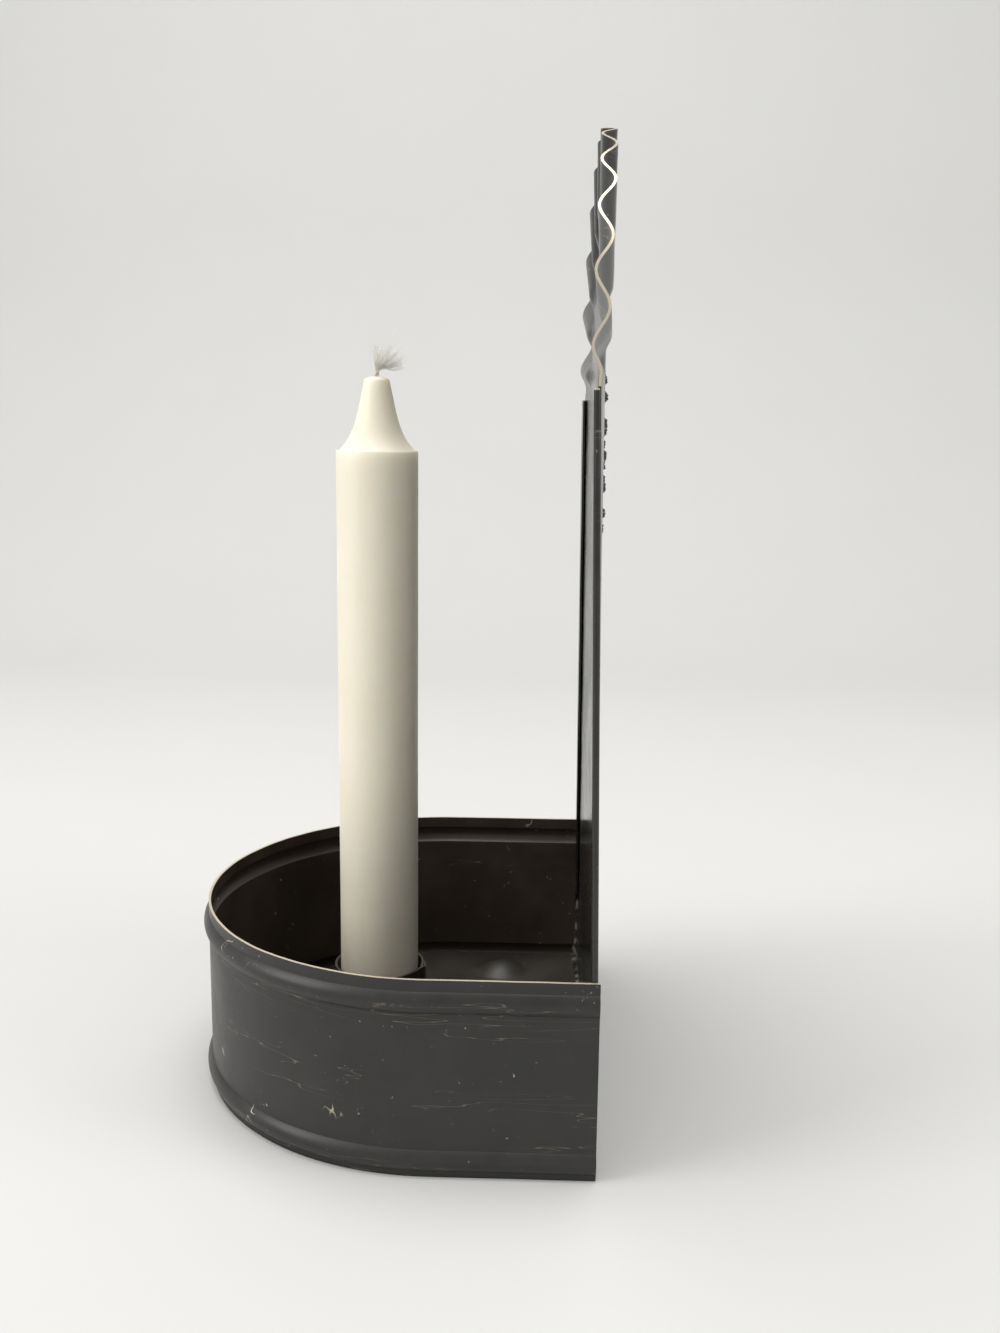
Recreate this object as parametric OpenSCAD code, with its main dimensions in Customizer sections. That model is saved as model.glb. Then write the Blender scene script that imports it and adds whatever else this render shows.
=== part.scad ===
// Punched tin candle sconce: a crimped and punched back plate on a beaded D-shaped tray.
// X runs across, the wall is towards +Y and Z points up. The origin is the middle of the
// back plate's bottom edge.

/* [Tray] */
// Width across the wall, without its beads
tray_w = 125; // [100:1:150]
// Straight length of each side, from the back plate to the round front
side_len = 38.5; // [30:0.5:60]
// Height of the wall
tray_h = 48; // [38:1:65]
// Height of the floor's underside above the bottom edge
floor_rise = 2.3; // [1.9:0.1:5]
// Diameter of each boss pressed up in the floor
boss_d = 14.5; // [8:0.5:18]
// Height of each boss
boss_h = 3; // [1.5:0.1:4.5]
// Distance between the two bosses
boss_spacing = 96; // [60:1:98]
// Distance of the bosses from the back plate
boss_from_plate = 24; // [14:0.5:32]

/* [Tinplate] */
// Thickness of every sheet
sheet_t = 0.6; // [0.4:0.05:0.8]
// Gap that the solder closes between two sheets
seat_gap = 0.05; // [0.02:0.01:0.15]

/* [Beads] */
// Height of the band that a bead takes
bead_w = 5; // [4:0.25:7]
// How far a bead stands out of the wall
bead_out = 1.3; // [0.8:0.1:1.8]
// Plain lip above the upper bead
lip_top = 3; // [2:0.5:8]
// Plain lip below the lower bead
lip_bottom = 1.5; // [1:0.25:4]

/* [Back plate] */
// Height of the hemmed panel, up to the fan
panel_h = 178; // [150:1:220]
// Width of the folded hem
hem_w = 6; // [4:0.5:9]
// Gap inside the fold of a hem
hem_gap = 0.4; // [0.2:0.05:0.8]
// Height at which the hems are cut off inside the tray
hem_foot = 22; // [12:1:34]

/* [Fan] */
// Number of flutes round the half circle
flutes = 12; // [8:1:16]
// How far a flute swings to each side at the rim
flute_depth = 1.6; // [0.8:0.1:2.2]
// Length of the flutes, inwards from the rim
flute_len = 23; // [14:1:34]
// Length over which a flute runs out at its inner end
flute_runout = 6; // [3:0.5:10]

/* [Hanging hole] */
// Diameter of the hole for the nail
nail_hole_d = 4; // [3:0.25:6]
// Height of the hole above the panel
nail_hole_rise = 24.5; // [10:0.5:32]
// Height of the lip that the punch left at the back
nail_lip_h = 0.8; // [0.4:0.1:1.5]
// Width of that lip's wall
nail_lip_wall = 0.6; // [0.4:0.1:1.2]

/* [Punched rosette] */
// Height of the rosette's centre
rosette_z = 163; // [110:1:165]
// Radius of the outer ring of punches
ring_r = 19.7; // [14:0.1:30]
// Number of punches in the outer ring
ring_count = 16; // [8:8:24]
// Radius of the star's points
star_r = 15.4; // [10:0.1:22]
// Radius of the hollows between the points
hollow_r = 10.8; // [7:0.1:14]
// Radius of the inner ring
eye_r = 6.6; // [4:0.1:8]
// Number of points of the star
star_points = 8; // [5:1:10]
// Diameter of a large punch where it breaks through
punch_d = 1.7; // [1:0.1:2.4]
// Diameter of a small punch where it breaks through
small_punch_d = 1.2; // [0.8:0.1:1.6]
// How far the punched burrs stand out at the back
burr_h = 1.5; // [0.6:0.1:2]
// Wall of a burr at its tip
burr_wall = 0.25; // [0.15:0.05:0.4]

/* [Candle socket] */
// Room between the candle and the socket, across both sides
candle_room = 2; // [1:0.1:4]
// Height of the socket above the floor
socket_h = 22.6; // [14:0.2:34]
// Distance of its centre from the middle of the back plate
socket_from_plate = 56.4; // [40:0.2:66]
// Width of the lapped seam
lap_w = 5; // [3:0.5:8]
// How much lower the lap ends than the rim
lap_drop = 0.8; // [0.4:0.1:2]

/* [Candle] */
// Diameter of the candle
candle_d = 21; // [18:0.5:24]
// Height of the candle's straight body
candle_body_h = 160.1; // [60:0.5:200]
// Height of its drawn-in neck and tip
neck_h = 18.4; // [12:0.2:26]
// Step in at the shoulder
shoulder_step = 0.8; // [0.3:0.1:1.5]
// Radius of the blunt tip
tip_r = 3.3; // [2.5:0.1:4.5]
// Running gap between the candle's foot and the floor
foot_gap = 0.3; // [0.2:0.05:0.6]

/* [Wick] */
// Diameter of the wick
wick_d = 1.6; // [1:0.1:2.4]
// Free length of the wick below its frayed end
wick_neck = 1.6; // [1:0.1:4]
// Length of the frayed strands
fray_len = 7.4; // [4:0.2:10]
// Number of frayed strands
fray_count = 12; // [6:3:15]
// Diameter of a strand
strand_d = 0.45; // [0.3:0.05:0.7]

/* [Solder] */
// Leg of the seams in the corners and along the floor
seam_leg = 2; // [1:0.1:3]
// Leg of the seam round the socket's foot
foot_seam_leg = 1.5; // [0.8:0.1:2.5]

/* [Hidden] */
$fn = 96;
tin = [0.10, 0.095, 0.09];
solder = [0.46, 0.45, 0.43];
eps = 0.01;

half_t = sheet_t / 2;
wall_r = tray_w / 2;
inner_r = wall_r - sheet_t;
plate_r = inner_r - seat_gap;
floor_top = floor_rise + sheet_t;

bead_r = (bead_w * bead_w / 4 + bead_out * bead_out) / (2 * bead_out);
bead_x = wall_r + bead_out - bead_r;
bead_zs = [lip_bottom + bead_w / 2, tray_h - lip_top - bead_w / 2];

// Inner face of the wall at a height within the lower bead, or its plain face elsewhere
function groove_x(z) =
    let (drop = abs(z - bead_zs[0]), r = bead_r - sheet_t)
    drop < r ? max(inner_r, bead_x + sqrt(r * r - drop * drop)) : inner_r;
floor_r = min(groove_x(floor_rise), groove_x(floor_top)) - seat_gap;

hem_r = sheet_t + hem_gap / 2;
hem_x = plate_r - hem_r;
hem_mid_y = -half_t - hem_gap / 2;

fan_cells = flutes * 10;
crimp_r = plate_r - flute_len;
crimp_rows = [0, 0.3, 0.65, 1];
fan_radii = [for (s = crimp_rows) crimp_r + s * flute_runout,
             (crimp_r + flute_runout + plate_r) / 2, plate_r];

candle_r = candle_d / 2;
candle_z = floor_top + foot_gap;
socket_bore_r = candle_r + candle_room / 2;
socket_r = socket_bore_r + sheet_t;
wick_r = wick_d / 2;
wick_bore_r = wick_r + seat_gap;
neck_taper = 0.56 * (candle_r - shoulder_step - tip_r);
neck_flare = 0.44 * (candle_r - shoulder_step - tip_r);
tip_round_h = tip_r / 3;
foot_bevel = 0.6;

// Swing of the crimped sheet at a radius and an angle from the top, flat at both ends
function run_out(s) = let (c = min(max(s, 0), 1)) c * c * (3 - 2 * c);
function swing(r, a) =
    flute_depth * run_out((r - crimp_r) / flute_runout)
    * (0.8 + 0.2 * (r - crimp_r) / flute_len)
    * cos(a * 2 * flutes) * run_out((90 - abs(a)) * flutes / 90);

function fan_angle(j) = -90 + 180 * j / fan_cells;
function fan_point(i, j, y) =
    let (r = fan_radii[i], a = fan_angle(j))
    [r * sin(a), swing(r, a) + y, panel_h + r * cos(a)];

// Cross-section of the tray's wall, with X outwards and Y upwards
module wall_profile() {
    difference() {
        union() {
            translate([inner_r, 0]) square([sheet_t, tray_h]);
            for (z = bead_zs) intersection() {
                translate([bead_x, z]) circle(bead_r);
                translate([inner_r, z - bead_w / 2]) square([sheet_t + bead_out, bead_w]);
            }
        }
        for (z = bead_zs) translate([bead_x, z]) circle(bead_r - sheet_t);
    }
}

module wall_side() {
    translate([0, half_t, 0]) rotate([90, 0, 0]) linear_extrude(side_len + half_t)
        wall_profile();
}

module tray_wall() {
    color(tin) union() {
        translate([0, -side_len, 0]) rotate([0, 0, 180]) rotate_extrude(angle = 180)
            wall_profile();
        wall_side();
        mirror([1, 0, 0]) wall_side();
    }
}

// A shallow dome of sheet, standing on z = 0
module boss(d, h) {
    dome_r = (d * d / 4 + h * h) / (2 * h);
    intersection() {
        translate([0, 0, h - dome_r]) sphere(dome_r);
        cylinder(h = h + 1, d = d + 1);
    }
}

module tray_floor() {
    color(tin) difference() {
        union() {
            translate([0, 0, floor_rise]) linear_extrude(sheet_t) intersection() {
                union() {
                    translate([0, -side_len]) circle(floor_r);
                    translate([-floor_r, -side_len])
                        square([2 * floor_r, side_len - half_t - seat_gap]);
                }
                translate([-wall_r, -side_len - wall_r])
                    square([tray_w, side_len + wall_r - half_t - seat_gap]);
            }
            for (side = [-1, 1])
                translate([side * boss_spacing / 2, -boss_from_plate, floor_top])
                    boss(boss_d, boss_h);
        }
        for (side = [-1, 1])
            translate([side * boss_spacing / 2, -boss_from_plate, floor_rise - eps])
                boss(boss_d - 2 * sheet_t, boss_h);
    }
}

// Folded edge of the panel at +X, cut off at an angle inside the tray
module hem() {
    difference() {
        translate([0, 0, hem_foot]) linear_extrude(panel_h - hem_foot) union() {
            intersection() {
                translate([hem_x, hem_mid_y]) difference() {
                    circle(hem_r);
                    circle(hem_gap / 2);
                }
                translate([hem_x, hem_mid_y - hem_r]) square([hem_r, 2 * hem_r]);
            }
            translate([plate_r - hem_w, hem_mid_y - hem_r])
                square([hem_w - hem_r, sheet_t]);
        }
        translate([plate_r - hem_w - eps, -half_t - eps, hem_foot - eps]) rotate([90, 0, 0])
            linear_extrude(2 * hem_r) polygon([[0, 0], [hem_w - hem_r, 0], [0, hem_w / 2]]);
    }
}

// Half-round head of the plate: a flat heart inside a ring of crimped flutes
module fan() {
    rows = len(fan_radii) - 1;
    line = fan_cells + 1;
    back = (rows + 1) * line;
    front_cells = [for (i = [0:rows - 1], j = [0:fan_cells - 1])
        let (a = i * line + j, b = a + line)
        each [[a, b, b + 1], [a, b + 1, a + 1]]];
    rim_at = rows * line;
    rim_cells = [for (j = [0:fan_cells - 1])
        let (a = rim_at + j)
        each [[a, a + back, a + back + 1], [a, a + back + 1, a + 1]]];
    foot = concat([for (i = [rows:-1:0]) i * line], [for (i = [0:rows]) i * line + fan_cells]);
    foot_cells = [for (k = [0:len(foot) - 2])
        let (a = foot[k], b = foot[k + 1])
        each [[a, b, b + back], [a, b + back, a + back]]];
    heart_cells = [for (j = [1:fan_cells - 1]) [0, j, j + 1]];
    front = concat(front_cells, heart_cells);
    polyhedron(
        points = [for (y = [-half_t, half_t], i = [0:rows], j = [0:fan_cells])
            fan_point(i, j, y)],
        faces = concat(front, [for (f = front) [f[2] + back, f[1] + back, f[0] + back]],
                       rim_cells, foot_cells),
        convexity = 10);
}

// Places what follows on the plate, with Z towards the wall, from the middle of the sheet
module on_plate(x, z) {
    translate([x, 0, z]) rotate([-90, 0, 0]) children();
}

// Every punch of the rosette: the child is placed once for each, with its diameter in $d
module rosette() {
    for (k = [0:ring_count - 1]) let (a = 360 * k / ring_count, $d = punch_d)
        on_plate(ring_r * sin(a), rosette_z + ring_r * cos(a)) children();
    for (k = [0:star_points - 1]) let (a = 360 * (k + 0.5) / star_points, $d = punch_d) {
        on_plate(star_r * sin(a), rosette_z + star_r * cos(a)) children();
        on_plate(eye_r * sin(a), rosette_z + eye_r * cos(a)) children();
    }
    for (k = [0:star_points - 1]) let (a = 360 * k / star_points, $d = small_punch_d)
        on_plate(hollow_r * sin(a), rosette_z + hollow_r * cos(a)) children();
    let ($d = punch_d) on_plate(0, rosette_z) children();
}

module burr() {
    cylinder(h = half_t + burr_h, r1 = $d * 0.95 + burr_wall, r2 = $d / 2 + burr_wall, $fn = 24);
}

module punch_hole() {
    translate([0, 0, -half_t - eps])
        cylinder(h = sheet_t + burr_h + 2 * eps, r1 = $d * 0.85, r2 = $d / 2, $fn = 24);
}

module back_plate() {
    color(tin) difference() {
        union() {
            translate([-hem_x, -half_t, 0]) cube([2 * hem_x, sheet_t, panel_h]);
            translate([-plate_r, -half_t, 0]) cube([2 * plate_r, sheet_t, hem_foot]);
            hem();
            mirror([1, 0, 0]) hem();
            fan();
            rosette() burr();
            on_plate(0, panel_h + nail_hole_rise)
                cylinder(h = half_t + nail_lip_h, d = nail_hole_d + 2 * nail_lip_wall);
        }
        rosette() punch_hole();
        on_plate(0, panel_h + nail_hole_rise) translate([0, 0, -half_t - eps])
            cylinder(h = sheet_t + nail_lip_h + 2 * eps, d = nail_hole_d);
    }
}

// Strip of the socket's sheet that laps over the seam, on the side of the plate
module lap() {
    intersection() {
        difference() {
            cylinder(h = socket_h - lap_drop, r = socket_r + sheet_t);
            translate([0, 0, -eps]) cylinder(h = socket_h, r = socket_bore_r + half_t);
        }
        translate([-lap_w / 2, 0, 0]) cube([lap_w, socket_r + 2 * sheet_t, socket_h]);
    }
}

module at_socket() {
    translate([0, -socket_from_plate, floor_top]) children();
}

module candle_socket() {
    color(tin) at_socket() union() {
        difference() {
            cylinder(h = socket_h, r = socket_r);
            translate([0, 0, -eps]) cylinder(h = socket_h + 2 * eps, r = socket_bore_r);
        }
        lap();
    }
}

// Cross-section of a solder seam in a corner, with its two legs on the axes
module seam_profile(leg) {
    difference() {
        square(leg);
        translate([leg, leg]) circle(leg * 0.94, $fn = 48);
    }
}

// Seam in the corner between the plate and the wall at +X, from the floor to the hem
module corner_seam() {
    translate([inner_r, -half_t, floor_top]) rotate([0, 0, 180])
        linear_extrude(hem_foot - floor_top) seam_profile(seam_leg);
}

module corner_solder_right() {
    color(solder) corner_seam();
}

module corner_solder_left() {
    color(solder) mirror([1, 0, 0]) corner_seam();
}

module floor_solder() {
    run = 2 * (inner_r - seam_leg);
    color(solder) translate([run / 2, -half_t, floor_top]) rotate([0, -90, 0]) rotate([0, 0, 180])
        mirror([1, 0, 0]) linear_extrude(run) seam_profile(seam_leg);
}

module socket_solder() {
    color(solder) at_socket() difference() {
        rotate_extrude() translate([socket_r, 0]) seam_profile(foot_seam_leg);
        lap();
    }
}

// Radius of the candle's neck, from the shoulder at 0 to the tip's rounding at 1
function neck_r(s) = tip_r + neck_taper * (1 - s) + neck_flare * pow(1 - s, 5);

module candle() {
    neck_run = neck_h - tip_round_h;
    neck = [for (k = [0:12]) let (s = k / 12) [neck_r(s), candle_body_h + s * neck_run]];
    tip = [for (a = [15:15:75])
        [tip_r * cos(a), candle_body_h + neck_run + tip_round_h * sin(a)]];
    color([0.93, 0.91, 0.83]) translate([0, -socket_from_plate, candle_z]) difference() {
        rotate_extrude() polygon(concat(
            [[0, 0], [candle_r - foot_bevel, 0], [candle_r, foot_bevel],
             [candle_r, candle_body_h]],
            neck, tip, [[0, candle_body_h + neck_h]]));
        translate([0, 0, -eps]) cylinder(h = candle_body_h + neck_h + 1, r = wick_bore_r);
    }
}

// Cotton wick: it runs down through the candle and is frayed out towards the plate
module wick() {
    top = candle_body_h + neck_h + wick_neck;
    color([0.93, 0.92, 0.87]) translate([0, -socket_from_plate, candle_z]) union() {
        cylinder(h = top, r = wick_r);
        translate([0, 0, top]) sphere(wick_r);
        for (k = [0:fray_count - 1]) {
            lean = -6 + 74 * k / (fray_count - 1);
            tilt = 21 * (k % 3 - 1);
            reach = fray_len * (0.82 + 0.18 * cos(k * 97));
            translate([0, 0, top]) rotate([-lean, tilt, 0])
                cylinder(h = reach, d = strand_d, $fn = 16);
        }
    }
}

back_plate();
tray_wall();
tray_floor();
candle_socket();
corner_solder_left();
corner_solder_right();
floor_solder();
socket_solder();
candle();
wick();
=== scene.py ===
import math
import random

import bmesh
import bpy
from mathutils import Matrix, Vector, noise


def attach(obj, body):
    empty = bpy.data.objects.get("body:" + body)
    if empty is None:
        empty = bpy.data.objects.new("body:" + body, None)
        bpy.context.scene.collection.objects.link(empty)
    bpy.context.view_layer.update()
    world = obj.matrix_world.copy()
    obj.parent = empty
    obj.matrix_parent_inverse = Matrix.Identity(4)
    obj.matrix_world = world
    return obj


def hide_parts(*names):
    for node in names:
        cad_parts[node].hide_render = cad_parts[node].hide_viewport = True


# Punched tin candle sconce. Lengths in the dictionaries are in millimetres.
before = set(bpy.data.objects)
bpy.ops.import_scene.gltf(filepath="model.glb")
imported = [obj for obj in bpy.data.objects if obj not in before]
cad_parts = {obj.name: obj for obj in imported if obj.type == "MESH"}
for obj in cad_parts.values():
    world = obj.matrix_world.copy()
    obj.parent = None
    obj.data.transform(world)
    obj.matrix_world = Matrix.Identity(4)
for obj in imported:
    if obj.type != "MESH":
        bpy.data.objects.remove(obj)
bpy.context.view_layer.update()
mm = 0.001
print("frame loaded")


# Helpers for meshes

def wobble(point, size, seed=0.0):
    return noise.noise(Vector(point) / size + Vector((31.4 + seed, 7.7, 18.2 - seed)))


def smoothStep(value):
    value = min(max(value, 0.0), 1.0)
    return value * value * (3 - 2 * value)


def addLine(bm, points, closed=False):
    verts = [bm.verts.new(point) for point in points]
    pairs = list(zip(verts, verts[1:])) + ([(verts[-1], verts[0])] if closed else [])
    return verts, [bm.edges.new(pair) for pair in pairs]


def extrudeEdges(bm, edges, offset=(0, 0, 0), turn=None):
    made = bmesh.ops.extrude_edge_only(bm, edges=edges)["geom"]
    verts = [item for item in made if isinstance(item, bmesh.types.BMVert)]
    fresh = set(verts)
    if turn:
        centre, axis, angle = turn
        bmesh.ops.rotate(bm, cent=centre, matrix=Matrix.Rotation(angle, 3, axis), verts=verts)
    else:
        bmesh.ops.translate(bm, vec=offset, verts=verts)
    line = [item for item in made if isinstance(item, bmesh.types.BMEdge)
            and item.verts[0] in fresh and item.verts[1] in fresh]
    return verts, line


def cutGrid(bm, faces, planes):
    geom = list({item for face in faces for item in [face, *face.edges, *face.verts]})
    for point, normal in planes:
        geom = bmesh.ops.bisect_plane(bm, geom=geom, dist=1e-5, plane_co=point,
                                      plane_no=normal)["geom"]
    return [item for item in geom if isinstance(item, bmesh.types.BMFace)]


def faceOutwards(bm, face, direction):
    bmesh.ops.recalc_face_normals(bm, faces=bm.faces)
    bm.normal_update()
    if face.normal.dot(Vector(direction)) < 0:
        bmesh.ops.reverse_faces(bm, faces=bm.faces)


def makePiece(name, bm, body, stands, materials, sheet=None, sharp=38, finish=None):
    bmesh.ops.scale(bm, vec=(mm, mm, mm), verts=bm.verts)
    mesh = bpy.data.meshes.new(name)
    bm.to_mesh(mesh)
    bm.free()
    piece = bpy.data.objects.new(name, mesh)
    bpy.context.scene.collection.objects.link(piece)
    for material in materials:
        mesh.materials.append(material)
    mesh.shade_smooth()
    if sheet:
        shell = piece.modifiers.new("sheet", "SOLIDIFY")
        shell.thickness = sheet["thickness"] * mm
        shell.offset = sheet.get("offset", 0)
        shell.material_offset = sheet.get("inner", 0)
        shell.use_even_offset = sheet.get("even", True)
        if sheet.get("thinned"):
            piece.vertex_groups.new(name="thickness")
            shell.vertex_group = "thickness"
            shell.thickness_vertex_group = 0
        graph = bpy.context.evaluated_depsgraph_get()
        baked = bpy.data.meshes.new_from_object(piece.evaluated_get(graph))
        piece.modifiers.clear()
        piece.vertex_groups.clear()
        piece.data = baked
        bpy.data.meshes.remove(mesh)
        mesh = baked
        mesh.name = name
    if finish:
        for vert in mesh.vertices:
            vert.co = finish(vert.co / mm) * mm
    mesh.set_sharp_from_angle(angle=math.radians(sharp))
    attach(piece, body)
    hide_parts(*stands)
    print("made", name, len(mesh.polygons), "faces")
    return piece


# Helpers for materials

def connect(tree, value, socket):
    if isinstance(value, bpy.types.NodeSocket):
        tree.links.new(value, socket)
    else:
        socket.default_value = value


def addNode(tree, kind, sockets=None, **settings):
    node = tree.nodes.new(kind)
    for key, value in settings.items():
        setattr(node, key, value)
    for key, value in (sockets or {}).items():
        connect(tree, value, node.inputs[key])
    return node


def mathOf(tree, operation, first, second=0.0):
    return addNode(tree, "ShaderNodeMath", {0: first, 1: second}, operation=operation).outputs[0]


def rampOf(tree, value, low, high, bottom=0.0, top=1.0):
    node = addNode(tree, "ShaderNodeMapRange", {"Value": value, "From Min": low, "From Max": high,
                                                "To Min": bottom, "To Max": top},
                   interpolation_type="SMOOTHSTEP")
    return node.outputs["Result"]


# A Mix node keeps its sockets for every data type: 6 and 7 are the colours, 2 and 3 the numbers
def mixOf(tree, mask, first, second):
    return addNode(tree, "ShaderNodeMix", {0: mask, 6: first, 7: second}, data_type="RGBA").outputs[2]


def mixValue(tree, mask, first, second):
    return addNode(tree, "ShaderNodeMix", {0: mask, 2: first, 3: second}, data_type="FLOAT").outputs[0]


def rgb(red, green, blue):
    return (red, green, blue, 1.0)


def newGroup(name, inputs, outputs):
    tree = bpy.data.node_groups.new(name, "ShaderNodeTree")
    for label, kind, value in inputs:
        socket = tree.interface.new_socket(name=label, in_out="INPUT", socket_type=kind)
        if value is not None:
            socket.default_value = value
    for label, kind in outputs:
        tree.interface.new_socket(name=label, in_out="OUTPUT", socket_type=kind)
    return tree, tree.nodes.new("NodeGroupInput"), tree.nodes.new("NodeGroupOutput")


def useGroup(tree, group, **sockets):
    node = tree.nodes.new("ShaderNodeGroup")
    node.node_tree = group
    for key, value in sockets.items():
        connect(tree, value, node.inputs[key])
    return node.outputs[0]


def newMaterial(name):
    material = bpy.data.materials.new(name)
    material.use_nodes = True
    tree = material.node_tree
    shader = tree.nodes["Principled BSDF"]
    place = addNode(tree, "ShaderNodeTexCoord").outputs["Object"]
    return material, tree, shader, place


def stretched(tree, place, scale, turn=(0, 0, 0)):
    return addNode(tree, "ShaderNodeMapping", {"Vector": place, "Scale": scale,
                                               "Rotation": turn}).outputs["Vector"]


def noiseOf(tree, place, scale, detail=3.0, rough=0.55):
    return addNode(tree, "ShaderNodeTexNoise", {"Vector": place, "Scale": scale, "Detail": detail,
                                                "Roughness": rough}).outputs["Fac"]


# speckle: small irregular patches, gathered where a slower noise is high
speckle, groupIn, groupOut = newGroup(
    "speckle", [("Vector", "NodeSocketVector", None), ("Scale", "NodeSocketFloat", 400.0),
                ("Cover", "NodeSocketFloat", 0.4), ("Gather", "NodeSocketFloat", 0.2)],
    [("Mask", "NodeSocketFloat")])
fine = noiseOf(speckle, groupIn.outputs["Vector"], groupIn.outputs["Scale"], 5.0, 0.65)
slow = noiseOf(speckle, groupIn.outputs["Vector"],
               mathOf(speckle, "MULTIPLY", groupIn.outputs["Scale"], 0.13), 2.0)
drift = mathOf(speckle, "MULTIPLY", mathOf(speckle, "SUBTRACT", slow, 0.5), groupIn.outputs["Gather"])
level = mathOf(speckle, "SUBTRACT", 1.0, groupIn.outputs["Cover"])
speckle.links.new(
    rampOf(speckle, mathOf(speckle, "ADD", fine, drift), level, mathOf(speckle, "ADD", level, 0.06)),
    groupOut.inputs["Mask"])

# hairline: thin wandering lines along the level curves of a noise, in loose patches
hairline, groupIn, groupOut = newGroup(
    "hairline", [("Vector", "NodeSocketVector", None), ("Scale", "NodeSocketFloat", 60.0),
                 ("Width", "NodeSocketFloat", 0.01), ("Cover", "NodeSocketFloat", 0.4),
                 ("Patch", "NodeSocketFloat", 20.0)],
    [("Mask", "NodeSocketFloat")])
wander = noiseOf(hairline, groupIn.outputs["Vector"], groupIn.outputs["Scale"], 1.5, 0.5)
away = mathOf(hairline, "ABSOLUTE", mathOf(hairline, "SUBTRACT", wander, 0.5))
line = rampOf(hairline, away, 0.0, groupIn.outputs["Width"], 1.0, 0.0)
patch = noiseOf(hairline, groupIn.outputs["Vector"], groupIn.outputs["Patch"], 2.0)
level = mathOf(hairline, "SUBTRACT", 1.0, groupIn.outputs["Cover"])
held = rampOf(hairline, patch, level, mathOf(hairline, "ADD", level, 0.08))
hairline.links.new(mathOf(hairline, "MULTIPLY", line, held), groupOut.inputs["Mask"])

# ridge: 1 on a height, falling to 0 at a distance from it
ridge, groupIn, groupOut = newGroup(
    "ridge", [("Vector", "NodeSocketVector", None), ("Height", "NodeSocketFloat", 0.04),
              ("Reach", "NodeSocketFloat", 0.002)],
    [("Mask", "NodeSocketFloat")])
split = addNode(ridge, "ShaderNodeSeparateXYZ", {0: groupIn.outputs["Vector"]})
away = mathOf(ridge, "ABSOLUTE", mathOf(ridge, "SUBTRACT", split.outputs["Z"],
                                        groupIn.outputs["Height"]))
ridge.links.new(rampOf(ridge, away, 0.0, groupIn.outputs["Reach"], 1.0, 0.0), groupOut.inputs["Mask"])
print("node groups ready")


# Materials of the sheet metal
japan = {
    "black": rgb(0.013, 0.0125, 0.0115),
    "brown": rgb(0.030, 0.021, 0.014),
    "floor": rgb(0.030, 0.027, 0.023),
    # gold and tan colour worn tin, and also the painted highlight on the beads
    "gold": rgb(0.42, 0.35, 0.24),
    "tan": rgb(0.20, 0.145, 0.09),
    # cream colours chips, and the cut rims, where it is bare tin and also a painted rim highlight
    "cream": rgb(0.62, 0.55, 0.42),
}


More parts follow.
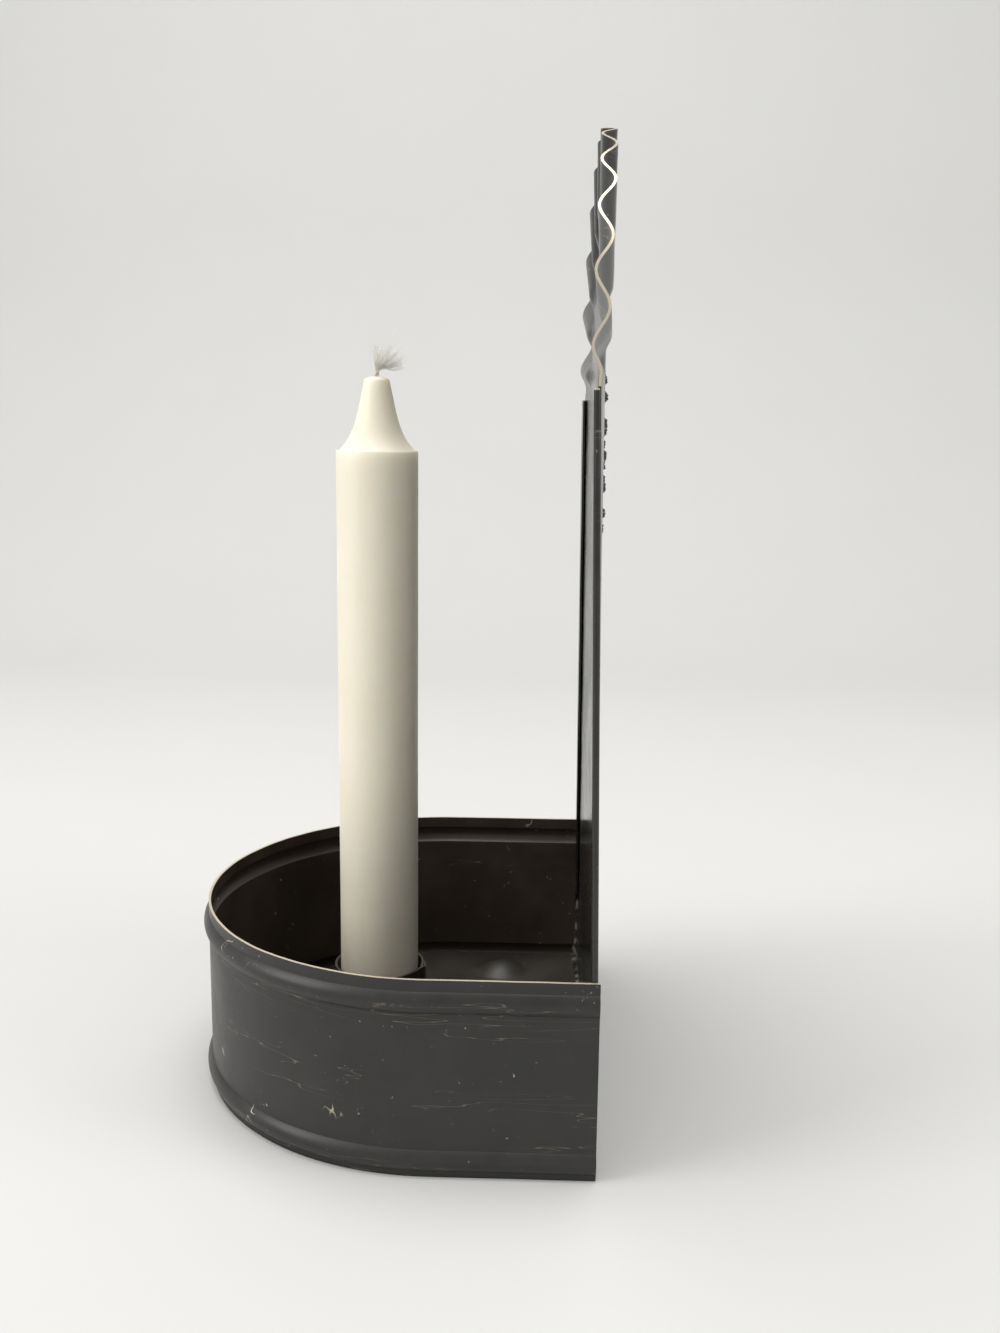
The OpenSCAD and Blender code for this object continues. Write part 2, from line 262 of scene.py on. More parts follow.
# upper and lower are the bands on the two beads, worn tin and painted highlight together: their height and
# reach in metres, and their strength
def blackTin(name, base, upperWearAndSheen, lowerWearAndSheen, gloss, scratch, chip, wearAndSheenTone):
    material, tree, shader, place = newMaterial(name)
    cloud = noiseOf(tree, place, 45.0, 4.0, 0.6)
    tone = mixOf(tree, rampOf(tree, cloud, 0.35, 0.7), base,
                 tuple(part * 1.7 for part in base[:3]) + (1.0,))
    # bands on the beads: tin worn through, and a painted highlight where the light catches the bead
    upperBeadWearAndSheen = useGroup(tree, ridge, Vector=place, Height=upperWearAndSheen[0], Reach=upperWearAndSheen[1])
    lowerBeadWearAndSheen = useGroup(tree, ridge, Vector=place, Height=lowerWearAndSheen[0], Reach=lowerWearAndSheen[1])
    beadWearAndSheen = mathOf(tree, "MAXIMUM", mathOf(tree, "MULTIPLY", upperBeadWearAndSheen, upperWearAndSheen[2]),
                    mathOf(tree, "MULTIPLY", lowerBeadWearAndSheen, lowerWearAndSheen[2]))
    grit = noiseOf(tree, place, 900.0, 5.0, 0.7)
    lump = noiseOf(tree, place, 60.0, 3.0)
    wornBase = mathOf(tree, "ADD", mathOf(tree, "MULTIPLY", grit, 0.55),
                      mathOf(tree, "MULTIPLY", lump, 0.75))
    # worn holds random wear plus the painted highlight band on the beads
    worn = rampOf(tree, mathOf(tree, "ADD", beadWearAndSheen, wornBase), 1.22, 1.62)
    # chips and scratches
    streak = stretched(tree, place, (1.0, 1.0, 16.0), (0.06, 0.04, 0.0))
    lines = useGroup(tree, hairline, Vector=streak, Scale=38.0, Width=0.010, Cover=scratch, Patch=9.0)
    hooks = useGroup(tree, hairline, Vector=place, Scale=170.0, Width=0.016, Cover=chip, Patch=75.0)
    specks = useGroup(tree, speckle, Vector=place, Scale=620.0, Cover=0.315, Gather=0.25)
    marks = mathOf(tree, "MAXIMUM", hooks, mathOf(tree, "MULTIPLY", specks, 0.6))
    # cream on the cut rims: partly bare tin, partly a painted highlight along the rim
    bareAndLitRim = addNode(tree, "ShaderNodeAttribute", attribute_name="bareAndLitRim").outputs["Fac"]
    edge = rampOf(tree, mathOf(tree, "ADD", bareAndLitRim, mathOf(tree, "MULTIPLY", grit, 0.5)), 0.95, 1.15)
    tone = mixOf(tree, mathOf(tree, "MULTIPLY", lines, 0.30), tone, japan["gold"])
    # the worn mask paints gold or tan: worn tin, and a painted highlight on the beads
    tone = mixOf(tree, mathOf(tree, "MULTIPLY", worn, 0.85), tone, wearAndSheenTone)
    tone = mixOf(tree, marks, tone, japan["cream"])
    tone = mixOf(tree, edge, tone, japan["cream"])
    connect(tree, tone, shader.inputs["Base Color"])
    metal = mathOf(tree, "MULTIPLY", mathOf(tree, "MAXIMUM", worn, edge), 0.55)
    connect(tree, metal, shader.inputs["Metallic"])
    rough = mixValue(tree, rampOf(tree, cloud, 0.3, 0.75), gloss, gloss + 0.16)
    rough = mixValue(tree, mathOf(tree, "MAXIMUM", worn, marks), rough, 0.46)
    connect(tree, rough, shader.inputs["Roughness"])
    relief = mathOf(tree, "SUBTRACT", mathOf(tree, "MULTIPLY", noiseOf(tree, place, 260.0, 4.0), 0.5),
                    mathOf(tree, "MULTIPLY", mathOf(tree, "MAXIMUM", marks, lines), 0.35))
    bump = addNode(tree, "ShaderNodeBump", {"Strength": 0.35, "Distance": 0.00025, "Height": relief})
    tree.links.new(bump.outputs["Normal"], shader.inputs["Normal"])
    return material


noBead = (0.5, 0.001, 0.0)  # above the object and without strength
# the bead tuples give a band of wear and painted highlight on the upper and lower bead, outside and inside
wallOutside = blackTin("black japan outside", japan["black"], (0.0422, 0.0022, 0.50),
                       (0.0040, 0.0022, 0.42), 0.34, 0.47, 0.33, japan["gold"])
wallInside = blackTin("brown japan inside", japan["brown"], (0.0428, 0.0020, 0.36),
                      (0.0062, 0.0016, 0.34), 0.36, 0.40, 0.31, japan["tan"])
plateTin = blackTin("black japan on the plate", japan["black"], noBead, noBead, 0.16, 0.42, 0.28,
                    japan["gold"])
floorTin = blackTin("worn japan on the floor", japan["floor"], noBead, noBead, 0.36, 0.46, 0.30,
                    japan["tan"])
socketTin = blackTin("thin japan on the socket", japan["brown"], noBead, noBead, 0.30, 0.36, 0.28,
                     japan["tan"])


def solderMaterial():
    material, tree, shader, place = newMaterial("blacked solder")
    grit = noiseOf(tree, place, 420.0, 4.0, 0.6)
    tone = mixOf(tree, rampOf(tree, grit, 0.42, 0.62), rgb(0.035, 0.032, 0.028), rgb(0.30, 0.28, 0.25))
    connect(tree, tone, shader.inputs["Base Color"])
    shader.inputs["Metallic"].default_value = 0.6
    connect(tree, mixValue(tree, grit, 0.35, 0.6), shader.inputs["Roughness"])
    bump = addNode(tree, "ShaderNodeBump", {"Strength": 0.5, "Distance": 0.0004, "Height": grit})
    tree.links.new(bump.outputs["Normal"], shader.inputs["Normal"])
    return material


def waxMaterial():
    material, tree, shader, place = newMaterial("ivory wax")
    cloud = noiseOf(tree, place, 60.0, 4.0, 0.55)
    streak = noiseOf(tree, stretched(tree, place, (1.0, 1.0, 0.15)), 160.0, 3.0)
    tone = mixOf(tree, cloud, rgb(0.80, 0.745, 0.60), rgb(0.86, 0.82, 0.70))
    tone = mixOf(tree, mathOf(tree, "MULTIPLY", rampOf(tree, streak, 0.55, 0.75), 0.35), tone,
                 rgb(0.74, 0.68, 0.52))
    connect(tree, tone, shader.inputs["Base Color"])
    connect(tree, mixValue(tree, cloud, 0.34, 0.50), shader.inputs["Roughness"])
    shader.inputs["Subsurface Weight"].default_value = 0.6
    shader.inputs["Subsurface Radius"].default_value = (0.6, 0.5, 0.35)
    shader.inputs["Subsurface Scale"].default_value = 0.008
    relief = mathOf(tree, "ADD", noiseOf(tree, place, 240.0, 3.0), mathOf(tree, "MULTIPLY", streak, 0.6))
    bump = addNode(tree, "ShaderNodeBump", {"Strength": 0.22, "Distance": 0.0003, "Height": relief})
    tree.links.new(bump.outputs["Normal"], shader.inputs["Normal"])
    return material


def cottonMaterial():
    material, tree, shader, place = newMaterial("cotton wick")
    yarn = noiseOf(tree, place, 1500.0, 3.0)
    low = useGroup(tree, ridge, Vector=place, Height=wick["base"] * mm, Reach=0.0028)
    tone = mixOf(tree, yarn, rgb(0.72, 0.70, 0.63), rgb(0.90, 0.89, 0.85))
    tone = mixOf(tree, mathOf(tree, "MULTIPLY", low, 0.7), tone, rgb(0.66, 0.56, 0.34))
    connect(tree, tone, shader.inputs["Base Color"])
    shader.inputs["Roughness"].default_value = 0.75
    shader.inputs["Sheen Weight"].default_value = 0.3
    bump = addNode(tree, "ShaderNodeBump", {"Strength": 0.4, "Distance": 0.0001, "Height": yarn})
    tree.links.new(bump.outputs["Normal"], shader.inputs["Normal"])
    return material


# Back plate: one sheet with folded hems, a crimped fan and punched holes
plate = {
    "halfWidth": 61.85, "hemLine": 61.05, "panel": 178.0, "sheet": 0.6,
    "crimp": 23.0, "runOut": 6.0, "flutes": 12, "depth": 1.6, "stepsPerFlute": 24,
    "hemFoot": 22.0, "hemGap": 0.4, "hemFlap": 5.2,
    "rosette": 163.0, "ring": 19.7, "star": 15.4, "hollow": 10.8, "eye": 6.6,
    "punch": 0.85, "smallPunch": 0.6, "burr": 1.5,
    "nailHole": 202.5, "nailRadius": 2.0, "nailBurr": 1.1,
    "bowNear": 3.2, "bowFar": 1.3, "rest": 48.0, "seed": 7,
}


def fluteSwing(radius, angle):
    inner = plate["halfWidth"] - plate["crimp"]
    fade = smoothStep((radius - inner) / plate["runOut"])
    growth = 0.8 + 0.2 * (radius - inner) / plate["crimp"]
    ends = smoothStep((90 - abs(angle)) * plate["flutes"] / 90)
    return plate["depth"] * fade * growth * math.cos(math.radians(angle * 2 * plate["flutes"])) * ends


def bowed(point):
    side = plate["bowNear"] if point.x > 0 else plate["bowFar"]
    climb = (point.z - plate["rest"]) / (plate["panel"] - plate["rest"])
    lift = 0.16 * smoothStep((point.z - 30) / 20) + 0.84 * min(max(climb, 0), 1)
    dent = 0.12 * wobble(point, 26.0) * smoothStep((point.z - 45) / 30) if abs(point.x) < 60 else 0
    return Vector((point.x, point.y - side * lift * (point.x / plate["halfWidth"]) ** 2
                   - abs(dent), point.z))


def buildPlate():
    dice = random.Random(plate["seed"])
    bm = bmesh.new()
    bareAndLitRim = bm.verts.layers.float.new("bareAndLitRim")
    thick = bm.verts.layers.deform.verify()
    wide, panel = plate["halfWidth"], plate["panel"]
    inner = wide - plate["crimp"]
    rows = [inner + plate["crimp"] * k / 13 for k in range(13)] + [wide - 0.35, wide]
    verts, edges = addLine(bm, [(-radius, 0, panel) for radius in rows])
    bmesh.ops.spin(bm, geom=verts + edges, cent=(0, 0, panel), axis=(0, 1, 0), angle=math.pi,
                   steps=plate["flutes"] * plate["stepsPerFlute"])
    bmesh.ops.remove_doubles(bm, verts=bm.verts, dist=1e-4)
    for vert in bm.verts:
        radius = math.hypot(vert.co.x, vert.co.z - panel)
        angle = math.degrees(math.atan2(vert.co.x, vert.co.z - panel))
        # the wavy cut rim of the fan is marked for the cream edge: bare tin and painted rim highlight
        if radius > wide - 0.1:
            vert[bareAndLitRim] = 1
        vert.co.y = fluteSwing(radius, min(max(angle, -90), 90))
    # panel and heart as one flat face, then gridded so that it can bow
    top = sorted((v for v in bm.verts if abs(v.co.z - panel) < 1e-3 and abs(v.co.x) > wide - 1e-3),
                 key=lambda vert: vert.co.x)
    hem, foot = plate["hemLine"], plate["hemFoot"]
    path = [(-hem, 0, panel - 0.4), (-hem, 0, foot + 0.4), (-wide, 0, foot), (-wide, 0, 0),
            (wide, 0, 0), (wide, 0, foot), (hem, 0, foot + 0.4), (hem, 0, panel - 0.4)]
    extra, sides = addLine(bm, path)
    sides += [bm.edges.new((top[0], extra[0])), bm.edges.new((extra[-1], top[-1]))]
    seam = [edge for edge in bm.edges if edge.is_boundary and edge not in sides and all(
        math.hypot(v.co.x, v.co.z - panel) < inner + 1e-3 or abs(v.co.z - panel) < 1e-3
        for v in edge.verts)]
    flat = bmesh.ops.contextual_create(bm, geom=sides + seam)["faces"]
    planes = [((x, 0, 0), (1, 0, 0)) for x in range(-60, 61, 4)]
    planes += [((0, 0, z), (0, 0, 1)) for z in range(4, 216, 4)]
    flat = cutGrid(bm, flat, planes)
    # punched holes
    holes = [(plate["ring"], k * 22.5, plate["punch"]) for k in range(16)]
    holes += [(plate["star"], k * 45 + 22.5, plate["punch"]) for k in range(8)]
    holes += [(plate["eye"], k * 45 + 22.5, plate["punch"]) for k in range(8)]
    holes += [(plate["hollow"], k * 45, plate["smallPunch"]) for k in range(8)] + [(0, 0, plate["punch"])]
    places = [(Vector((r * math.sin(math.radians(a)), 0, plate["rosette"] + r * math.cos(math.radians(a)))),
               size, plate["burr"] if size > 0.7 else plate["burr"] * 0.72) for r, a, size in holes]
    places.append((Vector((0, 0, plate["nailHole"])), plate["nailRadius"], plate["nailBurr"]))
    flat = set(flat)
    for centre, size, height in places:
        reach = size + 1.05
        near = [face for face in flat if (face.calc_center_median() - centre).length < reach + 3.2]
        flat.difference_update(near)
        sidesOf = 16
        cuts = [(centre + reach * Vector((math.cos(a), 0, math.sin(a))), (math.cos(a), 0, math.sin(a)))
                for a in [2 * math.pi * (k + 0.5) / sidesOf for k in range(sidesOf)]]
        flat.update(cutGrid(bm, near, cuts))
    gone = [face for face in flat if any(
        (face.calc_center_median() - centre).length < size + 1.0 for centre, size, height in places)]
    bmesh.ops.delete(bm, geom=gone, context="FACES")
    for vert in bm.verts:
        vert[thick][0] = 1.0
    for centre, size, height in places:
        rim = [edge for edge in bm.edges if edge.is_boundary
               and (edge.verts[0].co - centre).length < size + 1.4
               and (edge.verts[1].co - centre).length < size + 1.4]
        torn = [dice.uniform(0.72, 1.0) for k in range(7)]
        for part, width, thin in ((0.10, size + 0.62, 1.0), (0.42, size + 0.25, 0.7), (1.0, size, 0.25)):
            fresh, rim = extrudeEdges(bm, rim)
            for vert in fresh:
                away = vert.co - centre
                away.y = 0
                turn = (math.atan2(away.z, away.x) / (2 * math.pi)) % 1.0 * 7
                tear = torn[int(turn) % 7] * (1 - 0.22 * abs(math.sin(math.pi * turn))) if part == 1 else 1
                vert.co = centre + away.normalized() * width + Vector((0, part * height * tear, 0))
                vert[thick][0] = thin
    # hems folded forward and flattened
    bend = plate["sheet"] + plate["hemGap"]
    for side in (-1, 1):
        line = [edge for edge in bm.edges if edge.is_boundary and all(
            abs(v.co.x - side * hem) < 1e-3 for v in edge.verts)]
        for k in range(6):
            fresh, line = extrudeEdges(bm, line, turn=((side * hem, -bend / 2, 0), "Z", -side * math.pi / 6))
        for k in range(2):
            fresh, line = extrudeEdges(bm, line, (-side * plate["hemFlap"] / 2, 0, 0))
        for vert in fresh:
            vert.co.z += 3.0 * smoothStep((foot + 8 - vert.co.z) / 8)
    # cut ends of the hems get the cream edge: bare tin and painted highlight
    for vert in bm.verts:
        if abs(vert.co.z - (panel - 0.4)) < 1e-3 and vert.co.y < -0.2:
            vert[bareAndLitRim] = 1
    bmesh.ops.remove_doubles(bm, verts=bm.verts, dist=1e-4)
    middle = min(bm.faces, key=lambda face: (face.calc_center_median() - Vector((30, 0, 90))).length)
    faceOutwards(bm, middle, (0, 1, 0))
    return makePiece("backPlate", bm, "sconce", ["back_plate"], [plateTin],
                     {"thickness": plate["sheet"], "thinned": True, "even": False}, finish=bowed)


buildPlate()


# Wall of the tray: a band with two rolled beads, bent to a D
wall = {
    "halfWidth": 62.2, "side": 38.5, "height": 48.0, "back": 0.3, "sheet": 0.6,
    "beads": (4.0, 42.5), "beadHalf": 2.5, "beadOut": 1.28, "wobble": 0.16,
}


def beadSwell(height):
    away = min(abs(height - bead) for bead in wall["beads"]) / wall["beadHalf"]
    return wall["beadOut"] * max(0.0, math.cos(math.pi / 2 * min(away, 1))) ** 0.8


def buildWall():
    bm = bmesh.new()
    bareAndLitRim = bm.verts.layers.float.new("bareAndLitRim")
    heights = [0, 0.3, 1.0] + [10 + 4 * k for k in range(8)] + [46.2, 47.2, 47.7, 48]
    for bead in wall["beads"]:
        heights += [bead + wall["beadHalf"] * k / 8 for k in range(-8, 9)]
    heights = sorted(set(heights + [7.6]))
    verts, edges = addLine(bm, [(wall["halfWidth"] + beadSwell(z), wall["back"], z) for z in heights])
    run = wall["side"] + wall["back"]
    line = edges
    for k in range(10):
        fresh, line = extrudeEdges(bm, line, (0, -run / 10, 0))
    last = bmesh.ops.spin(bm, geom=fresh + line, cent=(0, -wall["side"], 0), axis=(0, 0, 1),
                          angle=-math.pi, steps=110)["geom_last"]
    line = [item for item in last if isinstance(item, bmesh.types.BMEdge)]
    for k in range(10):
        fresh, line = extrudeEdges(bm, line, (0, run / 10, 0))
    bmesh.ops.remove_doubles(bm, verts=bm.verts, dist=1e-4)
    for vert in bm.verts:
        # the top rim of the wall gets the cream edge: bare tin and painted rim highlight
        if vert.co.z > wall["height"] - 0.01:
            vert[bareAndLitRim] = 1
        firm = smoothStep(-vert.co.y / 12)
        inwards = Vector((-vert.co.x, -wall["side"] - vert.co.y if vert.co.y < -wall["side"] else 0, 0))
        push = wall["wobble"] * firm * (0.5 + wobble((vert.co.x, vert.co.y, vert.co.z * 0.4), 22.0))
        vert.co += inwards.normalized() * abs(push)
        if vert.co.z > 47:
            vert.co.z -= 0.12 * abs(wobble((vert.co.x, vert.co.y, 0), 9.0, 3.0))
    side = max(bm.faces, key=lambda face: face.calc_center_median().x)
    faceOutwards(bm, side, (1, 0, 0))
    return makePiece("trayWall", bm, "sconce", ["tray_wall"], [wallOutside, wallInside],
                     {"thickness": wall["sheet"], "inner": 1})


buildWall()


# Floor of the tray, with two bosses pressed up
tray = {
    "radius": 62.25, "side": 38.5, "back": -0.35, "top": 2.9, "sheet": 0.6,
    "bossAt": 48.0, "bossFrom": 24.0, "bossRadius": 7.7, "bossHeight": 3.0, "sag": 0.12,
}


def buildFloor():
    bm = bmesh.new()
    bm.verts.layers.float.new("bareAndLitRim")
    radius, top = tray["radius"], tray["top"]
    start = bm.verts.new((radius, -tray["side"], top))
    bmesh.ops.spin(bm, geom=[start], cent=(0, -tray["side"], top), axis=(0, 0, 1), angle=-math.pi, steps=110)
    bm.verts.ensure_lookup_table()
    last = min(bm.verts, key=lambda vert: (vert.co - Vector((-radius, -tray["side"], top))).length)
    corners = [bm.verts.new((side * radius, tray["back"], top)) for side in (-1, 1)]
    for pair in ((last, corners[0]), (corners[0], corners[1]), (corners[1], start)):
        bm.edges.new(pair)
    flat = bmesh.ops.contextual_create(bm, geom=bm.edges[:])["faces"]
    across = {float(x) for x in range(-60, 61, 6)}
    along = {-float(y) for y in range(6, 100, 6)}
    for k in range(-9, 10):
        across |= {side * tray["bossAt"] + k for side in (-1, 1)}
        along.add(-tray["bossFrom"] + k)
    cutGrid(bm, flat, [((x, 0, 0), (1, 0, 0)) for x in sorted(across)]
            + [((0, y, 0), (0, 1, 0)) for y in sorted(along)])
    for vert in bm.verts:
        away = math.hypot(abs(vert.co.x) - tray["bossAt"], vert.co.y + tray["bossFrom"]) / tray["bossRadius"]
        if away < 1:
            vert.co.z += tray["bossHeight"] * (1 - away * away) ** 1.35
        vert.co.z += tray["sag"] * wobble(vert.co, 20.0, 5.0) * smoothStep(-vert.co.y / 10)
    faceOutwards(bm, next(iter(bm.faces)), (0, 0, 1))
    return makePiece("trayFloor", bm, "sconce", ["tray_floor"], [floorTin],
                     {"thickness": tray["sheet"], "offset": -1})


buildFloor()


# Socket: a strip rolled into a tube, with its end lapped over
socket = {
    "centre": (0.0, -56.4), "radius": 11.8, "bottom": 2.9, "height": 22.6, "sheet": 0.6,
    "lap": 26.0, "lapDrop": 0.8, "lapStart": 78.0, "wobble": 0.10,
}


def buildSocket():
    bm = bmesh.new()
    bm.verts.layers.float.new("bareAndLitRim")
    x, y = socket["centre"]
    bottom, high = socket["bottom"], socket["height"]
    heights = [0, 0.4, 3, 7, 11, 15, 19, 21.6, 22.3, high]
    verts, edges = addLine(bm, [(x + socket["radius"], y, bottom + z) for z in heights])
    bmesh.ops.spin(bm, geom=verts + edges, cent=(x, y, 0), axis=(0, 0, 1),
                   angle=math.radians(360 + socket["lap"]), steps=128)
    bm.verts.index_update()
    perRow = len(heights)
    for number, vert in enumerate(bm.verts):
        turn = (number // perRow) / 128 * (360 + socket["lap"])
        out = smoothStep((turn - 350) / 12)
        away = Vector((vert.co.x - x, vert.co.y - y, 0)).normalized()
        vert.co += away * (0.62 * out + socket["wobble"] * (wobble(vert.co, 12.0, 9.0) - 0.3))
        if vert.co.z > bottom + high - 1.2:
            vert.co.z -= socket["lapDrop"] * smoothStep((turn - 362) / 4)
    bmesh.ops.rotate(bm, cent=(x, y, 0), matrix=Matrix.Rotation(math.radians(socket["lapStart"]), 3, "Z"),
                     verts=bm.verts)
    faceOutwards(bm, next(iter(bm.faces)), (0, 0, 1))
    return makePiece("candleSocket", bm, "sconce", ["candle_socket"], [socketTin],
                     {"thickness": socket["sheet"]})


buildSocket()


# Solder seams, with a hollow face between two legs
solder = {
    "leg": 2.0, "footLeg": 1.5, "seed": 11,
    "section": [(0, 0), (1, 0), (0.52, 0.16), (0.30, 0.30), (0.16, 0.52), (0, 1)],
}
solderTin = solderMaterial()


def seamBlock(bm, corner, legA, legB, run, steps, dice):
    base = Vector(corner)
    verts, edges = addLine(bm, [base + a * Vector(legA) + b * Vector(legB)
                                for a, b in solder["section"]], True)
    cap = bmesh.ops.contextual_create(bm, geom=edges)["faces"]
    step = Vector(run) / steps
    for k in range(steps):
        made = bmesh.ops.extrude_face_region(bm, geom=cap)["geom"]
        if k:
            bmesh.ops.delete(bm, geom=cap, context="FACES_ONLY")
        cap = [item for item in made if isinstance(item, bmesh.types.BMFace)]
        fresh = [item for item in made if isinstance(item, bmesh.types.BMVert)]
        bmesh.ops.translate(bm, vec=step, verts=fresh)
        spot = base + step * (k + 1)
        scale = dice.uniform(0.72, 1.05)
        ordered = sorted(fresh, key=lambda vert: (vert.co - spot).length)
        for vert in ordered[1:]:
            vert.co = spot + (vert.co - spot).normalized() * (vert.co - spot).length * scale ** 0.5
            limit = max(abs((vert.co - spot).dot(Vector(legA).normalized())),
                        abs((vert.co - spot).dot(Vector(legB).normalized())))
            if limit > solder["leg"]:
                vert.co = spot + (vert.co - spot) * (solder["leg"] / limit)
    bmesh.ops.recalc_face_normals(bm, faces=bm.faces)


def buildSeams():
    dice = random.Random(solder["seed"])
    leg, foot = solder["leg"] * 0.9, solder["footLeg"]
    for name, node, side in (("cornerSolderRight", "corner_solder_right", 1),
                             ("cornerSolderLeft", "corner_solder_left", -1)):
        bm = bmesh.new()
        seamBlock(bm, (side * 61.9, -0.3, 2.9), (-side * leg, 0, 0), (0, -leg, 0), (0, 0, 19.0), 22, dice)
        makePiece(name, bm, "sconce", [node], [solderTin], sharp=60)
    bm = bmesh.new()
    seamBlock(bm, (-59.8, -0.3, 2.9), (0, -leg, 0), (0, 0, leg), (119.6, 0, 0), 90, dice)
    makePiece("floorSolder", bm, "sconce", ["floor_solder"], [solderTin], sharp=60)
    bm = bmesh.new()
    x, y = socket["centre"]
    radius = socket["radius"] + 0.3
    verts, edges = addLine(bm, [(x + radius + a * foot, y, 2.9 + b * foot)
                                for a, b in solder["section"]], True)
    bmesh.ops.spin(bm, geom=verts + edges, cent=(x, y, 0), axis=(0, 0, 1), angle=2 * math.pi, steps=96,
                   use_merge=True)
    for vert in bm.verts:
        away = Vector((vert.co.x - x, vert.co.y - y, 0))
        extra = away.length - radius
        if extra > 0.05:
            vert.co -= away.normalized() * extra * 0.35 * (0.5 + wobble(vert.co, 5.0, 2.0))
    bmesh.ops.recalc_face_normals(bm, faces=bm.faces)
    makePiece("socketSolder", bm, "sconce", ["socket_solder"], [solderTin], sharp=60)


buildSeams()


# Candle: poured, with a sharp shoulder and a drawn-in neck
candle = {
    "centre": (0.0, -56.4), "bottom": 3.2, "footRadius": 10.5, "shoulderRadius": 10.5, "body": 160.1,
    "neck": 18.4, "step": 0.8, "tip": 3.3, "wobble": 0.05,
}


def buildCandle():
    bm = bmesh.new()
    x, y = candle["centre"]
    low, body = candle["bottom"], candle["body"]
    foot, shoulder, tip = candle["footRadius"], candle["shoulderRadius"], candle["tip"]
    swell = shoulder - candle["step"] - tip
    profile = [(0, 0), (foot - 1.0, 0), (foot - 0.3, 0.2), (foot, 0.9)]
    profile += [(foot + (shoulder - foot) * k / 40, body * k / 40) for k in range(1, 40)]
    profile += [(shoulder, body - 0.35), (shoulder - 0.1, body - 0.05), (shoulder - 0.3, body)]
    rise = candle["neck"] - tip / 3
    profile += [(tip + 0.56 * swell * (1 - s) + 0.44 * swell * (1 - s) ** 5, body + s * rise)
                for s in [k / 16 for k in range(17)]]
    profile += [(tip * math.cos(math.radians(a)), body + rise + tip / 3 * math.sin(math.radians(a)))
                for a in (15, 30, 45, 60, 75)] + [(0, body + candle["neck"])]
    verts, edges = addLine(bm, [(x + radius, y, low + height) for radius, height in profile])
    bmesh.ops.spin(bm, geom=verts + edges, cent=(x, y, 0), axis=(0, 0, 1), angle=2 * math.pi, steps=112,
                   use_merge=True)
    bmesh.ops.remove_doubles(bm, verts=bm.verts, dist=1e-4)
    for vert in bm.verts:
        away = Vector((vert.co.x - x, vert.co.y - y, 0))
        if away.length > 0.5:
            ripple = wobble((vert.co.x, vert.co.y, vert.co.z * 0.35), 7.0, 1.0)
            vert.co -= away.normalized() * candle["wobble"] * (1 + ripple)
    bmesh.ops.recalc_face_normals(bm, faces=bm.faces)
    return makePiece("candle", bm, "candle", ["candle"], [waxMaterial()], sharp=32)


buildCandle()


# Wick: a short twisted cord, frayed into a flat brush that leans to the plate
wick = {
    "base": 181.0, "neckTop": 183.6, "strand": 0.42, "twist": 0.34, "bundles": 13, "fibres": 11,
    "fibre": 0.075, "length": 8.0, "seed": 23, "strays": 9, "strayFibre": 0.045,
}


def addFibre(bm, points, thickness):
    direction = (points[1] - points[0]).normalized()
    turn = direction.to_track_quat("Z", "Y").to_matrix().to_4x4()
    made = bmesh.ops.create_circle(bm, segments=4, radius=thickness,
                                   matrix=Matrix.Translation(points[0]) @ turn, cap_ends=True)
    line = list({edge for vert in made["verts"] for edge in vert.link_edges})
    for k in range(1, len(points)):
        fresh, line = extrudeEdges(bm, line, points[k] - points[k - 1])
        narrow = 1 - 0.55 * k / (len(points) - 1)
        for vert in fresh:
            away = vert.co - points[k]
            vert.co = points[k] + away.normalized() * thickness * narrow
    bmesh.ops.contextual_create(bm, geom=line)


def buildWick():
    dice = random.Random(wick["seed"])
    bm = bmesh.new()
    x, y = candle["centre"]
    for strand in range(3):
        points = []
        for k in range(11):
            height = wick["base"] - 1.2 + k * (wick["neckTop"] - wick["base"] + 1.2) / 10
            turn = math.radians(120 * strand + 34 * k)
            points.append(Vector((x + wick["twist"] * math.cos(turn), y + wick["twist"] * math.sin(turn),
                                  height)))
        addFibre(bm, points, wick["strand"])
    root = Vector((x, y, wick["neckTop"] - 0.7))
    for bundle in range(wick["bundles"]):
        lean = -4 + 80 * bundle / (wick["bundles"] - 1)
        tilt = dice.uniform(-16, 16)
        for fibre in range(wick["fibres"]):
            longer = 0.82 + 0.18 * math.sin(math.radians(lean + 20))
            reach = wick["length"] * dice.uniform(0.78, 1.0) * longer
            ahead = math.radians(lean + dice.gauss(0, 3.2))
            aside = math.radians(tilt + dice.gauss(0, 3.5))
            way = Vector((math.sin(aside), math.sin(ahead) * math.cos(aside),
                          math.cos(ahead) * math.cos(aside)))
            start = root + Vector((dice.uniform(-0.3, 0.3), dice.uniform(-0.3, 0.3),
                                   dice.uniform(-0.5, 0.2)))
            bend = Vector((dice.gauss(0, 0.35), dice.gauss(0, 0.35), dice.gauss(0, 0.35)))
            points = [start]
            for k in range(1, 7):
                part = k / 6
                rise = Vector((0, 0, 1)).lerp(way, min(1, part * 2.2))
                points.append(start + rise.normalized() * reach * part + bend * math.sin(math.pi * part))
            addFibre(bm, points, wick["fibre"])
    for stray in range(wick["strays"]):
        ahead = math.radians(dice.uniform(-50, 78))
        way = Vector((dice.uniform(-0.4, 0.4), math.sin(ahead), max(0.1, math.cos(ahead))))
        side = Vector((dice.uniform(-1, 1), dice.uniform(-1, 1), dice.uniform(-1, 1)))
        reach = 4.2 if ahead < 0.2 else dice.uniform(8, 12)
        points = [root + way * reach * k / 7 + side * 0.8 * math.sin(math.pi * k / 7) for k in range(8)]
        addFibre(bm, points, wick["strayFibre"])
    bmesh.ops.recalc_face_normals(bm, faces=bm.faces)
    return makePiece("wick", bm, "candle", ["wick"], [cottonMaterial()], sharp=70)


buildWick()
print("pieces ready")


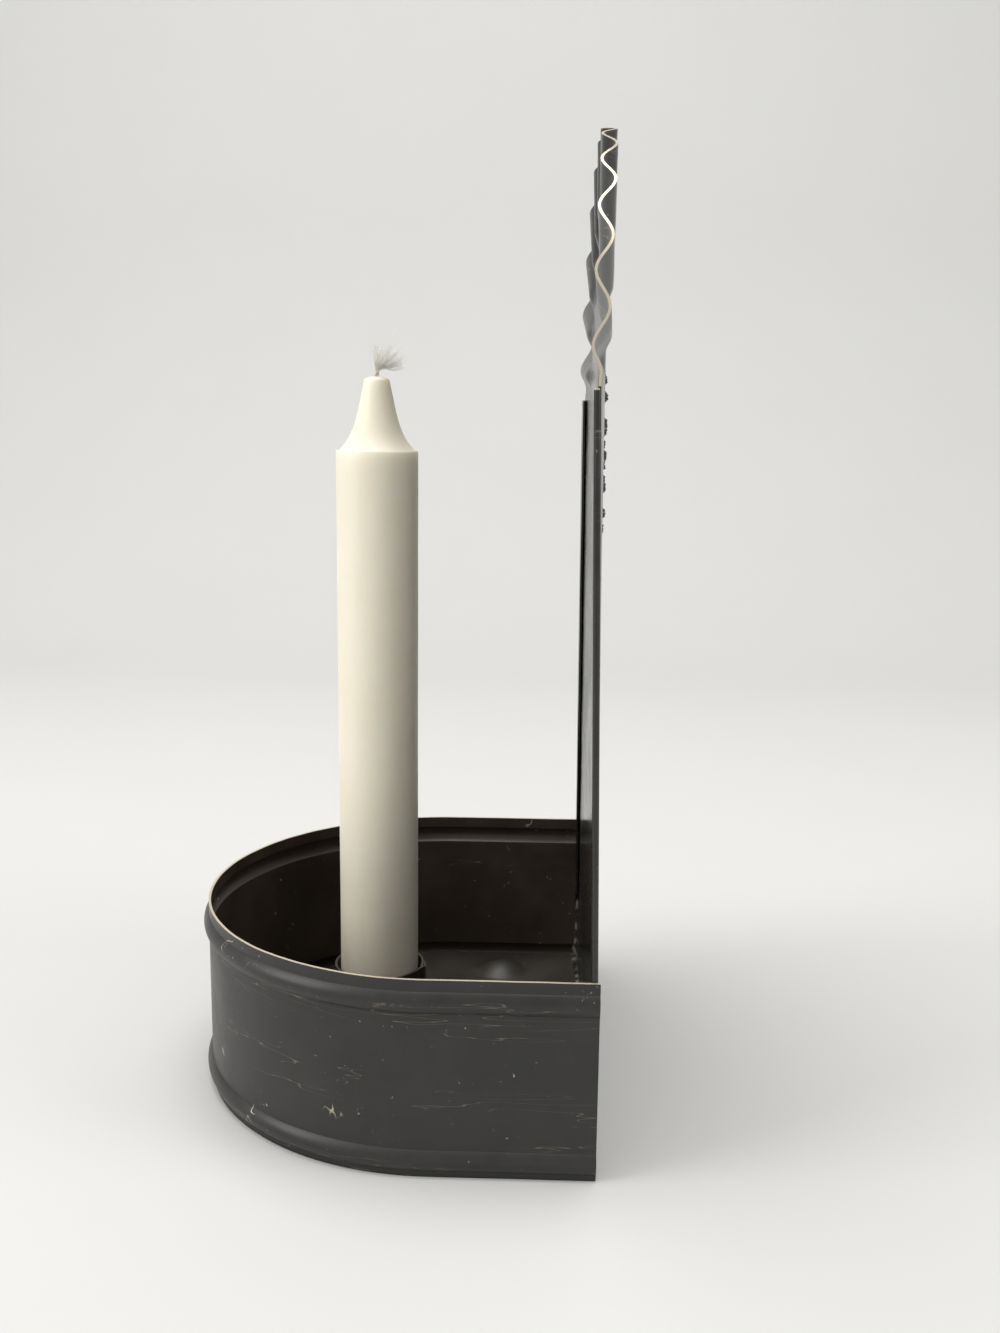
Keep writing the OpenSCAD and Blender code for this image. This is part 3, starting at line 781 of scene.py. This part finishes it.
# Floor, lights and camera
studio = {
    "floor": rgb(0.62, 0.62, 0.61), "world": 0.62,
    "lens": 35.37, "place": (0.33663, -0.01628, 0.16939), "yaw": -1.397, "pitch": 10.34, "roll": 0.686,
}


def buildStage():
    bm = bmesh.new()
    verts, edges = addLine(bm, [(0.62, 1.6, 0), (-0.55, 1.6, 0)])
    line = edges
    for k in range(12):
        fresh, line = extrudeEdges(bm, line, (0, -3.2 / 12, 0))
    back = [edge for edge in bm.edges if edge.is_boundary and all(v.co.x < -0.5 for v in edge.verts)]
    for k in range(10):
        fresh, back = extrudeEdges(bm, back, turn=((-0.55, 0, 0.35), "Y", math.radians(9)))
    fresh, back = extrudeEdges(bm, back, (0, 0, 1.2))
    for vert in bm.verts:
        if vert.co.x > 0.6:
            vert.co.x = 1.6
    mesh = bpy.data.meshes.new("studioFloor")
    bmesh.ops.recalc_face_normals(bm, faces=bm.faces)
    bm.to_mesh(mesh)
    bm.free()
    mesh.shade_smooth()
    sweep = bpy.data.objects.new("studioFloor", mesh)
    bpy.context.scene.collection.objects.link(sweep)
    material, tree, shader, place = newMaterial("pale paper")
    tone = mixOf(tree, noiseOf(tree, place, 9.0, 3.0), studio["floor"],
                 tuple(part * 0.97 for part in studio["floor"][:3]) + (1.0,))
    connect(tree, tone, shader.inputs["Base Color"])
    shader.inputs["Roughness"].default_value = 0.9
    mesh.materials.append(material)


def addLamp(name, place, target, size, power, tint):
    data = bpy.data.lights.new(name, "AREA")
    data.shape = "RECTANGLE"
    data.size, data.size_y = size
    data.energy = power
    data.color = tint
    lamp = bpy.data.objects.new(name, data)
    bpy.context.scene.collection.objects.link(lamp)
    lamp.location = place
    lamp.rotation_euler = (Vector(target) - Vector(place)).to_track_quat("-Z", "Y").to_euler()


def buildLights():
    addLamp("topBox", (-0.05, -0.15, 1.05), (0, -0.05, 0.1), (0.8, 0.8), 7.5, (1.0, 0.98, 0.95))
    addLamp("leftBox", (0.35, -0.95, 0.55), (0, -0.05, 0.1), (0.5, 0.7), 5.0, (1.0, 0.99, 0.97))
    addLamp("rightBox", (0.25, 0.95, 0.60), (0, -0.05, 0.1), (0.5, 0.7), 4.0, (1.0, 0.99, 0.97))
    world = bpy.data.worlds.new("studio")
    bpy.context.scene.world = world
    world.use_nodes = True
    sky = world.node_tree.nodes["Background"]
    sky.inputs["Color"].default_value = rgb(1.0, 1.0, 1.0)
    sky.inputs["Strength"].default_value = studio["world"]


def buildCamera():
    yaw, pitch, roll = (math.radians(studio[key]) for key in ("yaw", "pitch", "roll"))
    ahead = Vector((-math.cos(yaw) * math.cos(pitch), math.sin(yaw) * math.cos(pitch), -math.sin(pitch)))
    right = Vector((math.sin(yaw), math.cos(yaw), 0))
    up = right.cross(ahead)
    across = math.cos(roll) * right + math.sin(roll) * up
    upward = -math.sin(roll) * right + math.cos(roll) * up
    data = bpy.data.cameras.new("camera")
    data.lens = studio["lens"]
    data.sensor_width = 36
    data.clip_start = 0.01
    data.clip_end = 20
    camera = bpy.data.objects.new("camera", data)
    bpy.context.scene.collection.objects.link(camera)
    turn = Matrix((across, upward, -ahead)).transposed()
    camera.matrix_world = Matrix.Translation(studio["place"]) @ turn.to_4x4()
    bpy.context.scene.camera = camera
    bpy.context.scene.view_settings.view_transform = "Standard"


buildStage()
buildLights()
buildCamera()
print("stage ready")
